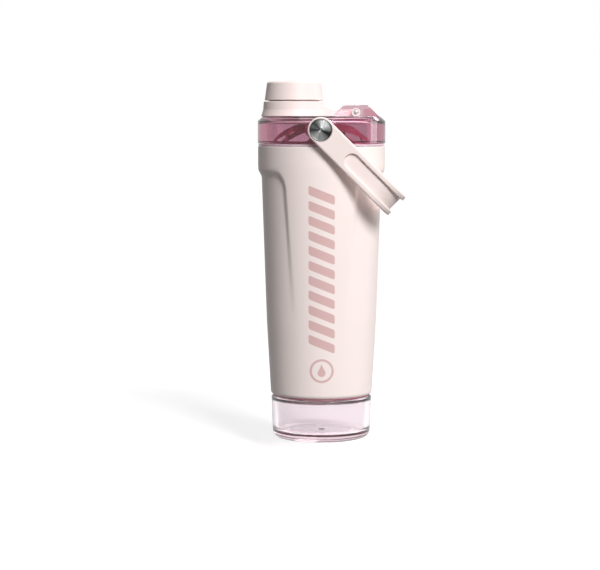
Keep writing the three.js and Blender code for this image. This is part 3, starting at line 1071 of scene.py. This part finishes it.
@dataclass
class Lid:
    """The clear screw lid with its spout, hinge hump and pivot bosses, its gasket and its agitator."""

    finishes: Finishes
    screw: Screw = Screw(1.2, 185.4, 7.2)
    chamfer_width: float = 3.2
    chamfer_height: float = 3.0
    plate: float = 3.0
    cavity: float = 35.2
    chamber: float = 36.8
    skirt_radius: float = 37.1
    spout_x: float = -18.4
    spout_bore: float = 10.9
    spout_radius: float = 12.8
    spout_top: float = 228.9
    lug_radius: float = 14.9
    lug_low: float = 220.6
    lug_high: float = 222.6
    top: float = 215.8
    bottom: float = 197.7
    ear_inner: float = 7.3
    ear_outer: float = 12.3
    hump_end: float = 38.3
    hump_top: float = 223.3
    web_top: float = 221.1
    pin_hole: float = 1.7
    knuckle_room: float = 3.2
    collar_bore: float = 1.75
    collar_radius: float = 2.95
    boss_radius: float = 8.0
    boss_face: float = 43.3
    insert_hole: float = 3.1
    insert_depth: float = 36.3
    gasket_bore: float = 38.8
    vanes: int = 9
    twist: float = 70.0
    crest_power: float = 3.2
    vane_root: float = 1.5
    vane_foot: float = 2.3
    vane_thinning: float = 1.1
    vane_depth: float = 5.5
    vane_shallowing: float = 3.1
    ring_width: float = 2.6
    ring_height: float = 3.0
    hub_radius: float = 3.6
    hub_depth: float = 6.0

    def __post_init__(self) -> None:
        """Reads the lid's radius, the pin and the pivots from the frame."""
        low, high = extent("lid_body")
        self.skirt_bottom = low.z
        self.radius = high.x
        pin_low, pin_high = extent("hinge_pin")
        self.pin = (pin_low + pin_high) / 2
        self.pin_radius = (pin_high.x - pin_low.x) / 2
        self.pin_half = pin_high.y
        cap_low, cap_high = extent("pivot_cap_rear")
        self.pivot_z = (cap_low.z + cap_high.z) / 2
        ring_low, ring_high = extent("agitator")
        self.agitator_bottom = ring_low.z
        self.agitator_top = ring_high.z
        self.agitator_radius = ring_high.x

    def lug(self, middle: float) -> bmesh.types.BMesh:
        """Returns one bayonet lug of the spout, centred on an angle in degrees."""
        lug = bayonet_lug(self.spout_radius - 0.6, self.lug_radius, self.lug_low, self.lug_high, middle)
        return shifted(lug, self.spout_x)

    def pin_bore(self, radius: float, half: float) -> bmesh.types.BMesh:
        """Returns a rod along the hinge's axis."""
        return to_pivot(rod(radius, -half, half), Side.REAR, self.pin.z, self.pin.x)

    def build_hump(self) -> None:
        """Builds the clear hump: two ears that hold the pin and the web between them."""
        low, top, web_top, end = self.top + 0.02, self.hump_top, self.web_top, self.hump_end
        ear = rounded([(6.7, low, 0), (14.9, top, 0.9), (30.8, top, 0.9), (end, low, 0)], 5)
        web = rounded([(28.1, low, 0), (28.1, web_top, 0.6), (33, web_top, 0.6), (end, low, 0)], 4)
        inner, outer = self.ear_inner, self.ear_outer
        hump = loose_object(slab(ear, inner, outer, 0.45), "lid_hump")
        carve(hump, [slab(ear, -outer, -inner, 0.45), slab(web, -inner - 0.6, inner + 0.6)], Cut.JOIN)
        carve(hump, [self.pin_bore(self.pin_hole, 20), self.pin_bore(self.knuckle_room, inner)], Cut.REMOVE)
        # The hump wears the paler copy of the lid's plastic, painted brighter than the lid.
        finish_piece(hump, Dress(self.finishes.hump, "rose_clear", "lid", ("lid_body",)))

    def build_lid(self) -> None:
        """Builds the clear lid with its spout, pivot bosses and thread."""
        top, radius = self.top, self.radius
        corners = [
            (self.skirt_radius, self.skirt_bottom, 0.5), (self.skirt_radius, self.bottom, 0.4),
            (radius, self.bottom, 0.7), (radius, top - self.chamfer_height, 0.7),
            (radius - self.chamfer_width, top, 0.8), (0, top, 0), (0, top - self.plate, 0),
            (self.chamber, top - self.plate, 2.2), (self.chamber, self.bottom + 1.6, 0.3),
            (self.cavity, self.bottom + 1.4, 0.3), (self.cavity, self.skirt_bottom, 0.5),
        ]
        lid = loose_object(turned(corners, 6, 192), "lid_clear")
        neck = rod(self.spout_radius, top - 1, self.spout_top, 0.6, 96)
        bosses = [
            to_pivot(rod(self.boss_radius, self.cavity + 0.4, self.boss_face, 0.3, 64), side, self.pivot_z)
            for side in Side
        ]
        carve(lid, [shifted(neck, self.spout_x), self.lug(0), self.lug(180), *bosses], Cut.JOIN)
        carve(lid, ridge(self.skirt_radius, self.screw), Cut.JOIN)
        throat, lead_in, ceiling = self.spout_bore + 2, self.spout_bore + 0.7, top - self.plate
        flare = [
            (0, top - 5, 0), (throat, top - 5, 0), (throat, ceiling - 0.01, 0),
            (self.spout_bore, ceiling + 1.2, 0.8), (self.spout_bore, self.spout_top - 0.6, 0),
            (lead_in, self.spout_top + 0.2, 0), (lead_in, self.spout_top + 1, 0), (0, self.spout_top + 1, 0),
        ]
        well = self.pin_bore(self.knuckle_room, self.ear_inner)
        inserts = [to_pivot(rod(self.insert_hole, self.insert_depth, 44), side, self.pivot_z) for side in Side]
        carve(lid, [shifted(turned(flare, 4, 96), self.spout_x), well, *inserts], Cut.REMOVE)
        finish_piece(lid, Dress(self.finishes.lid, "rose_clear", "lid", ("lid_body",)))

    def vane(self, index: int) -> bmesh.types.BMesh:
        """Returns one twisted vane, from the hub out to the ring.

        Args:
            index: its number, counted round the hub.

        Returns:
            The solid, in millimetres.
        """
        mesh = bmesh.new()
        bmesh.ops.create_cube(mesh, size=1)
        long_edges = [e for e in mesh.edges if abs(e.verts[0].co.x - e.verts[1].co.x) > 0.5]
        bmesh.ops.subdivide_edges(mesh, edges=long_edges, cuts=23, use_grid_fill=True)
        reach = self.agitator_radius - 1.3
        for vert in mesh.verts:
            u, v, w = vert.co.x + 0.5, vert.co.y, vert.co.z + 0.5
            r = self.vane_root + (reach - self.vane_root) * u
            angle = math.radians(index / self.vanes * 360 + self.twist * u)
            crest = self.agitator_top + (self.agitator_bottom + 2.2 - self.agitator_top) * u**self.crest_power
            lean = v * (self.vane_foot - self.vane_thinning * w)
            z = crest - (1 - w) * (self.vane_depth - self.vane_shallowing * u)
            cosine, sine = math.cos(angle), math.sin(angle)
            vert.co = (r * cosine - lean * sine, r * sine + lean * cosine, z)
        return tidied(mesh)

    def build_agitator(self) -> None:
        """Builds the agitator: a ring, a hub and the vanes between them."""
        low, top, outer = self.agitator_bottom, self.agitator_top, self.agitator_radius
        inner, high = outer - self.ring_width, low + self.ring_height
        ring = [(inner, low, 0.6), (outer, low, 0.6), (outer, high, 0.6), (inner, high, 0.6)]
        agitator = loose_object(turned(ring, 4), "agitator_vanes")
        foot, waist = top - self.hub_depth, self.hub_radius - 1
        hub = [
            (0, foot, 0), (waist, foot, 0.4), (self.hub_radius, top - 1, 0.5), (waist, top, 0.5), (0, top, 0),
        ]
        carve(agitator, [*(self.vane(index) for index in range(self.vanes)), turned(hub, 3, 40)], Cut.JOIN)
        finish_piece(agitator, Dress(self.finishes.agitator, "deep_rose_clear", "lid", ("agitator",)))

    def build_gasket(self) -> None:
        """Builds the gasket that shows as a pale line between the lid and the body."""
        low, high = extent("lid_gasket")
        bore = self.gasket_bore
        corners = [(bore, low.z, 0.2), (high.x, low.z, 0.35), (high.x, high.z, 0.35), (bore, high.z, 0.2)]
        gasket = loose_object(turned(corners, 4, 160), "lid_gasket_ring")
        finish_piece(gasket, Dress(self.finishes.silicone, "silicone", "lid_slide", ("lid_gasket",)))

    def build_pin(self) -> None:
        """Builds the hinge pin with its rounded ends."""
        shaft = rod(self.pin_radius, -self.pin_half, self.pin_half, 0.35)
        pin = to_pivot(shaft, Side.REAR, self.pin.z, self.pin.x)
        finish_piece(
            loose_object(pin, "hinge_pin_rod"), Dress(self.finishes.steel, "steel", "lid", ("hinge_pin",))
        )

    def build_collar(self, side: Side) -> None:
        """Builds the moulded collar round one end of the hinge pin.

        Args:
            side: the end that it sits on.
        """
        low, high = self.ear_outer - 0.1, self.ear_outer + 0.5
        inner, outer = self.collar_bore, self.collar_radius
        corners = [(inner, low, 0), (outer, low, 0), (outer, high, 0.3), (inner, high, 0.3)]
        collar = to_pivot(turned(corners, 4, 64), side, self.pin.z, self.pin.x)
        made = loose_object(collar, f"pin_collar_{side.name.lower()}")
        finish_piece(made, Dress(self.finishes.plastic, "blush_plastic", "lid", ("hinge_pin",)))

    def build(self) -> None:
        """Builds the lid's pieces."""
        self.build_lid()
        self.build_hump()
        self.build_agitator()
        self.build_gasket()
        self.build_pin()
        for side in Side:
            self.build_collar(side)


@dataclass
class SpoutCap:
    """The hinge ring with its arm, and the twist cap that turns in it."""

    finishes: Finishes
    lid: Lid
    bore: float = 17.1
    flange_bore: float = 18.3
    arm_width: float = 14.0
    knuckle: float = 2.6
    closer: float = 0.3
    flange_height: float = 2.2
    roof: float = 1.8
    liner_bore: float = 15.6
    liner_radius: float = 16.8
    liner_flange: float = 18.0
    liner_top: float = 232.0
    liner_ceiling: float = 230.3
    lug: tuple[float, ...] = (13.9, 16.2, 218.3, 220.2)

    def build_ring(self) -> None:
        """Builds the lower tier and the arm that flows from it to the pin."""
        low, high = extent("hinge_ring")
        bottom, top, base = low.z, high.z + self.closer, high.y
        ledge = bottom + self.flange_height
        corners = [
            (self.flange_bore, bottom, 0.2), (base, bottom, 0.35), (base - 0.5, bottom + 1.3, 0.8),
            (base - 1.45, bottom + 4.4, 2.2), (base - 1.9, top, 0.7), (self.bore, top, 0.4),
            (self.bore, ledge, 0), (self.flange_bore, ledge, 0),
        ]
        ring = loose_object(shifted(turned(corners, 6, 160), self.lid.spout_x), "hinge_ring_arm")
        pin = self.lid.pin
        ring_edge = self.lid.spout_x + base
        arm = rounded(
            [
                (ring_edge - 5, bottom, 0), (pin.x, bottom, 0), (pin.x, pin.z + 1.9, 0.4),
                (ring_edge + 2.5, pin.z + 1.9, 4), (ring_edge - 1.5, pin.z + 4.2, 3),
                (ring_edge - 5, pin.z + 4.4, 0),
            ],
            8,
        )
        half = self.arm_width / 2
        knuckle = to_pivot(rod(self.knuckle, -half, half, 0.3, 64), Side.REAR, pin.z, pin.x)
        carve(ring, [slab(arm, -half, half, 0.4), knuckle], Cut.JOIN)
        opening = [
            (0, bottom - 1), (self.flange_bore, bottom - 1), (self.flange_bore, ledge), (self.bore, ledge),
            (self.bore, top + 1), (0, top + 1),
        ]
        clear = lathe(opening, 160)
        hole = to_pivot(rod(self.lid.pin_hole, -half - 1, half + 1), Side.REAR, pin.z, pin.x)
        carve(ring, [shifted(clear, self.lid.spout_x), hole], Cut.REMOVE)
        finish_piece(ring, Dress(self.finishes.plastic, "blush_plastic", "hinge_link", ("hinge_ring",)))

    def build_cover(self) -> None:
        """Builds the upper tier, a tapered cap with a softly rounded top."""
        low, high = extent("cap_shell")
        bottom, top, base = low.z - self.closer, high.z, high.y
        ceiling = top - self.roof
        corners = [
            (self.bore, bottom, 0.3), (base, bottom, 0.45), (base - 1.62, top - 0.6, 1.5),
            (base - 3.4, top, 3.0), (0, top, 0), (0, ceiling, 0), (self.bore, ceiling, 1.2),
        ]
        finish_piece(
            loose_object(shifted(turned(corners, 8, 160), self.lid.spout_x), "cap_cover"),
            Dress(self.finishes.plastic, "blush_plastic", "cap", ("cap_shell",)),
        )

    def build_insert(self) -> None:
        """Builds the liner that holds the cap in its ring, with its two bayonet lugs."""
        low, high = extent("cap_insert")
        bottom, wall_top, bore, radius = low.z, high.z, self.liner_bore, self.liner_radius
        flange, top, ceiling = self.liner_flange, self.liner_top, self.liner_ceiling
        corners = [
            (bore, bottom, 0.3), (flange, bottom, 0.3), (flange, bottom + 1.2, 0.3),
            (radius, bottom + 1.6, 0.2), (radius, wall_top, 0.3), (bore, wall_top, 0.3), (bore, top, 0.4),
            (0, top, 0), (0, ceiling, 0), (bore, ceiling, 0.4),
        ]
        liner = loose_object(shifted(turned(corners, 3), self.lid.spout_x), "cap_liner")
        lugs = [shifted(bayonet_lug(*self.lug, middle), self.lid.spout_x) for middle in (90, 270)]
        carve(liner, lugs, Cut.JOIN)
        finish_piece(liner, Dress(self.finishes.white, "white_plastic", "cap", ("cap_insert",)))

    def build_seal(self) -> None:
        """Builds the seal under the cap's roof."""
        low, high = extent("cap_seal")
        corners = [(0, low.z, 0), (high.y, low.z, 0.25), (high.y, high.z, 0.25), (0, high.z, 0)]
        seal = shifted(turned(corners, 3, 96), self.lid.spout_x)
        finish_piece(
            loose_object(seal, "cap_seal_disc"), Dress(self.finishes.silicone, "silicone", "cap", ("cap_seal",))
        )

    def build(self) -> None:
        """Builds the spout cap's pieces."""
        self.build_ring()
        self.build_cover()
        self.build_insert()
        self.build_seal()


@dataclass
class Handle:
    """The bail: a flat band modelled straight, with its channel and eyes, and then bent round to a U."""

    finishes: Finishes
    pivot_z: float
    width: float = 17.0
    length: float = 70.6
    outer: float = 48.4
    thickness: float = 3.6
    bend: float = 19.0
    channel_width: float = 10.4
    channel_depth: float = 2.1
    channel_start: float = 23.7
    eye_bore: float = 4.2
    eye_recess: float = 7.5
    eye_depth: float = 2.0
    rest_angle: float = 45.0
    edge: float = 1.1
    channel_lip: float = 0.5
    channel_round: float = 0.7
    eye_chamfer: float = 0.25
    bend_cuts: int = 28

    def __post_init__(self) -> None:
        """Works out the band's straight lengths."""
        self.flat = self.outer - self.bend
        self.arc = self.bend * math.pi / 2
        self.reach = self.flat + self.arc + self.length - self.bend

    def stadium(self, mesh: bmesh.types.BMesh, half_length: float, radius: float, height: float) -> list:
        """Adds a round-ended loop to a mesh and returns its edges.

        Args:
            mesh: the mesh.
            half_length: from the loop's middle to the centre of an end.
            radius: the radius of its ends.
            height: its Z.

        Returns:
            The edges.
        """
        steps = 24
        points = [
            (side * half_length + radius * math.cos(a), radius * math.sin(a))
            for side, first in ((1, -90), (-1, 90))
            for a in (math.radians(first + 180 * step / steps) for step in range(steps + 1))
        ]
        return self.loop(mesh, points, height)

    def eye(self, mesh: bmesh.types.BMesh, side: int, radius: float, height: float) -> list:
        """Adds a circle round one eye's centre to a mesh and returns its edges.

        Args:
            mesh: the mesh.
            side: 1 or -1, for the end of the band.
            radius: the radius of the circle.
            height: its Z.

        Returns:
            The edges.
        """
        points = [
            (side * self.reach + radius * math.cos(a), radius * math.sin(a))
            for a in (math.tau * step / 48 for step in range(48))
        ]
        return self.loop(mesh, points, height)

    @staticmethod
    def loop(mesh: bmesh.types.BMesh, points: Sequence[Point], height: float) -> list:
        """Adds a closed loop of edges at a height and returns them."""
        verts = [mesh.verts.new((along, across, height)) for along, across in points]
        return [mesh.edges.new(pair) for pair in zip(verts, verts[1:] + verts[:1])]

    @staticmethod
    def skin(mesh: bmesh.types.BMesh, loops: Sequence[list]) -> None:
        """Joins each loop to the next with a ring of faces."""
        for first, second in zip(loops, loops[1:]):
            bmesh.ops.bridge_loops(mesh, edges=first + second)

    def straight_band(self) -> bmesh.types.BMesh:
        """Returns the band laid straight: X along it, Y across it and Z out of its outer face.

        Returns:
            The closed band, in millimetres.
        """
        mesh = bmesh.new()
        half, edge, deep = self.width / 2, self.edge, self.thickness
        quarter = [math.radians(15 * step) for step in range(7)]
        rounding = [(edge * (1 - math.cos(a)), edge * (1 - math.sin(a))) for a in quarter]
        sides = [
            self.stadium(mesh, self.reach, half - inset, -deep + drop) for inset, drop in reversed(rounding)
        ]
        sides += [self.stadium(mesh, self.reach, half - inset, -drop) for inset, drop in rounding]
        self.skin(mesh, sides)
        slot_half = self.channel_width / 2
        slot_reach = self.reach - self.channel_start - slot_half
        lip, soft, deepest = self.channel_lip, self.channel_round, -self.channel_depth
        turns = [math.radians(22.5 * step) for step in range(5)]
        channel = [(slot_half + lip * (1 - math.sin(a)), -lip * (1 - math.cos(a))) for a in turns]
        channel += [
            (slot_half - 0.15 - soft * (1 - math.cos(a)), deepest + soft * (1 - math.sin(a))) for a in turns
        ]
        slot = [self.stadium(mesh, slot_reach, radius, height) for radius, height in channel]
        self.skin(mesh, slot)
        top_edges, bottom_edges = sides[-1] + slot[0], list(sides[0])
        for side in (1, -1):
            recess = [
                self.eye(mesh, side, self.eye_recess + self.eye_chamfer, 0),
                self.eye(mesh, side, self.eye_recess, -self.eye_chamfer),
                self.eye(mesh, side, self.eye_recess, -self.eye_depth),
                self.eye(mesh, side, self.eye_bore, -self.eye_depth),
                self.eye(mesh, side, self.eye_bore, -deep),
            ]
            self.skin(mesh, recess)
            top_edges += recess[0]
            bottom_edges += recess[-1]
        for edges in (top_edges, slot[-1], bottom_edges):
            bmesh.ops.triangle_fill(mesh, use_beauty=True, edges=edges, normal=(0, 0, 1))
        return tidied(mesh)

    def bent(self, along: float, across: float, out: float) -> Vector:
        """Returns where a point of the straight band lies on the bent handle, in the bottle's frame.

        Args:
            along: its place along the band, from the middle.
            across: its place across the band.
            out: how far it lies out of the outer face.

        Returns:
            The point, in millimetres.
        """
        side = 1 if along >= 0 else -1
        travel = abs(along)
        if travel <= self.flat:
            reach, y = self.length + out, travel
        elif travel <= self.flat + self.arc:
            turn = (travel - self.flat) / self.bend
            reach = self.length - self.bend + (self.bend + out) * math.cos(turn)
            y = self.flat + (self.bend + out) * math.sin(turn)
        else:
            reach = self.length - self.bend - (travel - self.flat - self.arc)
            y = self.outer + out
        tilt = math.radians(self.rest_angle)
        x = reach * math.cos(tilt) + across * math.sin(tilt)
        z = -reach * math.sin(tilt) + across * math.cos(tilt)
        return Vector((x, side * y, z + self.pivot_z))

    def build(self) -> None:
        """Builds the handle."""
        mesh = self.straight_band()
        cuts = self.bend_cuts
        places = [0.0, *(self.flat + self.arc * step / cuts for step in range(cuts + 1))]
        for place in places:
            for side in (1, -1) if place else (1,):
                bmesh.ops.bisect_plane(
                    mesh, geom=[*mesh.verts, *mesh.edges, *mesh.faces], dist=1e-5,
                    plane_co=(side * place, 0, 0), plane_no=(1, 0, 0),
                )
        for vert in mesh.verts:
            vert.co = self.bent(*vert.co)
        handle = loose_object(tidied(mesh), "bail_handle")
        finish_piece(handle, Dress(self.finishes.plastic, "blush_plastic", "handle", ("handle",)))


@dataclass
class Pivots:
    """The turned caps and bushes at the handle's two pivots."""

    finishes: Finishes
    pivot_z: float
    cap: tuple[Corner, ...] = (
        (3.8, 46.7, 0), (7.2, 46.7, 0.15), (7.2, 48.15, 0.25), (6.75, 48.5, 0.15), (6.45, 48.15, 0.1),
        (1.3, 48.75, 0.25), (0.8, 48.3, 0.2), (0, 48.25, 0), (0, 47.9, 0), (3.8, 47.9, 0.2),
    )
    bush: tuple[Corner, ...] = (
        (1.9, 43.6, 0), (7.6, 43.6, 0.1), (7.6, 44.1, 0.1), (3.9, 44.1, 0), (3.9, 46.2, 0.2), (1.9, 46.2, 0),
    )

    def build_cap(self, side: Side) -> None:
        """Builds one turned cap: a shallow cone with a lip round it and a dimple in the middle.

        Args:
            side: the side of the bottle.
        """
        name = side.name.lower()
        cap = loose_object(to_pivot(turned(self.cap, 4, 96), side, self.pivot_z), f"pivot_face_{name}")
        finish_piece(cap, Dress(self.finishes.turned, "turned_steel", "lid", (f"pivot_cap_{name}",)))

    def build_bush(self, side: Side) -> None:
        """Builds one flanged bush.

        Args:
            side: the side of the bottle.
        """
        name = side.name.lower()
        bush = loose_object(to_pivot(turned(self.bush, 3, 72), side, self.pivot_z), f"bush_{name}")
        finish_piece(bush, Dress(self.finishes.white, "white_plastic", "lid", (f"pivot_bush_{name}",)))

    def build(self) -> None:
        """Builds both sides' pieces."""
        for side in Side:
            self.build_cap(side)
            self.build_bush(side)


# ---------------------------------------------------------------- studio


@dataclass(frozen=True)
class Softbox:
    """A rectangular area light aimed at the bottle's middle; its place and size are in metres."""

    name: str
    place: Corner
    size: Point
    watts: float
    aim_height: float = 0.12

    def build(self) -> None:
        """Makes the light."""
        data = bpy.data.lights.new(self.name, "AREA")
        data.shape = "RECTANGLE"
        data.size, data.size_y = self.size
        data.energy = self.watts
        light = bpy.data.objects.new(self.name, data)
        light.location = self.place
        aim = Vector((0, 0, self.aim_height)) - Vector(self.place)
        light.rotation_euler = aim.to_track_quat("-Z", "Y").to_euler()
        bpy.context.scene.collection.objects.link(light)


@dataclass
class Studio:
    """A pale floor that runs out to white, a white sky, soft lights and the camera."""

    distance: float = 1364.0
    side_step: float = 16.0
    eye_height: float = 207.8
    lens: float = 121.85
    tilt_down: float = 4.405
    turn_left: float = 1.277
    floor_radius: float = 30.0
    floor_drop: float = 10.5
    floor_white: float = 0.9
    floor_lift: float = 0.3
    floor_bounce: float = 0.16
    fade_start: float = 0.12
    fade_end: float = 0.75
    sky_light: float = 0.22
    sky_gloss: float = 0.75
    lamps: tuple[Softbox, ...] = (
        Softbox("key", (0.65, -1.43, 1.05), (0.6, 0.6), 33.5),
        Softbox("side", (1.35, 0.45, 0.5), (0.5, 1.2), 6),
        Softbox("top", (0.0, 0.3, 1.6), (1.0, 1.0), 4),
        Softbox("back", (0.5, 1.7, 1.5), (0.9, 0.9), 15),
    )

    def build_camera(self) -> None:
        """Makes the scene's camera."""
        data = bpy.data.cameras.new("camera")
        data.lens = self.lens
        data.sensor_width = 36
        data.clip_start = 0.01
        data.clip_end = 200
        camera = bpy.data.objects.new("camera", data)
        camera.location = Vector((self.side_step, -self.distance, self.eye_height)) * METRES
        camera.rotation_euler = (math.radians(90 - self.tilt_down), 0, math.radians(self.turn_left))
        bpy.context.scene.collection.objects.link(camera)
        bpy.context.scene.camera = camera

    def looked_at(self, graph: Graph) -> Wire:
        """Returns 1 for rays from the camera or through clear plastic, a share for gloss and 0 for the rest.

        Args:
            graph: the material's graph.

        Returns:
            The share.
        """
        kinds = ("Camera", "Transmission", "Glossy")
        direct, through, gloss = (graph.node("ShaderNodeLightPath", {}, {}, f"Is {kind} Ray") for kind in kinds)
        return direct.at_least(through).at_least(gloss * self.sky_gloss)

    def build_floor(self) -> None:
        """Makes the floor, a pale disc that fades to white, low enough for the cup to unscrew above it."""
        mesh = bmesh.new()
        bmesh.ops.create_circle(mesh, cap_ends=True, segments=96, radius=self.floor_radius / METRES)
        floor = loose_object(shifted(mesh, z=-self.floor_drop), "floor")
        graph = Graph("pale_floor")
        seen = self.looked_at(graph)
        x, y, _ = graph.split(graph.coordinates())
        far = graph.node(
            "ShaderNodeMapRange", {"interpolation_type": "SMOOTHSTEP"},
            {"Value": graph.length(x, y), "From Min": self.fade_start, "From Max": self.fade_end},
        )
        near = 1 - far
        lit = near * (seen * (self.floor_white - self.floor_bounce) + self.floor_bounce)
        glow = seen * (far * (1 - self.floor_lift) + self.floor_lift)
        graph.set(
            Base_Color=graph.grey(lit), Emission_Color=graph.grey(glow), Emission_Strength=1.0, Roughness=0.85,
            Specular_IOR_Level=0.1,
        )
        floor.data.materials.append(graph.material)

    def build_sky(self) -> None:
        """Makes a sky that looks white to the camera and through clear plastic, and lights softly."""
        world = bpy.data.worlds.new("sky")
        bpy.context.scene.world = world
        world.use_nodes = True
        tree = world.node_tree
        tree.nodes.clear()
        output = tree.nodes.new("ShaderNodeOutputWorld")
        path = tree.nodes.new("ShaderNodeLightPath")
        strengths = ((self.sky_gloss, "Is Glossy Ray"), (1.0, "Is Transmission Ray"), (1.0, "Is Camera Ray"))
        current = self.backdrop(tree, self.sky_light)
        for strength, rays in strengths:
            mix = tree.nodes.new("ShaderNodeMixShader")
            tree.links.new(path.outputs[rays], mix.inputs[0])
            tree.links.new(current, mix.inputs[1])
            tree.links.new(self.backdrop(tree, strength), mix.inputs[2])
            current = mix.outputs[0]
        tree.links.new(current, output.inputs["Surface"])

    @staticmethod
    def backdrop(tree: bpy.types.NodeTree, strength: float) -> bpy.types.NodeSocket:
        """Adds a plain white background of a strength and returns its output.

        Args:
            tree: the sky's node tree.
            strength: its brightness.

        Returns:
            The output socket.
        """
        plain = tree.nodes.new("ShaderNodeBackground")
        plain.inputs["Color"].default_value = (1, 1, 1, 1)
        plain.inputs["Strength"].default_value = strength
        return plain.outputs[0]

    def build(self) -> None:
        """Builds the studio."""
        self.build_camera()
        self.build_floor()
        self.build_sky()
        for lamp in self.lamps:
            lamp.build()
        view = bpy.context.scene.view_settings
        view.view_transform = "Standard"
        view.look = "None"


def dress_hidden_nodes(nodes: dict[str, bpy.types.Object], finishes: Finishes) -> None:
    """Gives the CAD pieces that stay their finishes.

    Args:
        nodes: the CAD objects by name.
        finishes: the bottle's materials.
    """
    worn = {
        finishes.steel: ("vacuum_base", "vacuum_plug", "getter", "pivot_screw_front", "pivot_screw_rear"),
        finishes.brass: ("pivot_insert_front", "pivot_insert_rear"),
    }
    for material, names in worn.items():
        for name in names:
            nodes[name].data.materials.clear()
            nodes[name].data.materials.append(material)


def main() -> None:
    """Builds the bottle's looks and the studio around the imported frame."""
    logging.basicConfig(level=logging.INFO, format="%(name)s: %(message)s")
    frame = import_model()
    low, high = extent("pivot_cap_rear")
    finishes = Finishes((low.z + high.z) / 2)
    dress_hidden_nodes(frame["nodes"], finishes)
    SteelBody(finishes).build()
    StorageCup(finishes).build()
    lid = Lid(finishes)
    lid.build()
    SpoutCap(finishes, lid).build()
    Handle(finishes, lid.pivot_z).build()
    Pivots(finishes, lid.pivot_z).build()
    Studio().build()


if __name__ == "__main__":
    main()
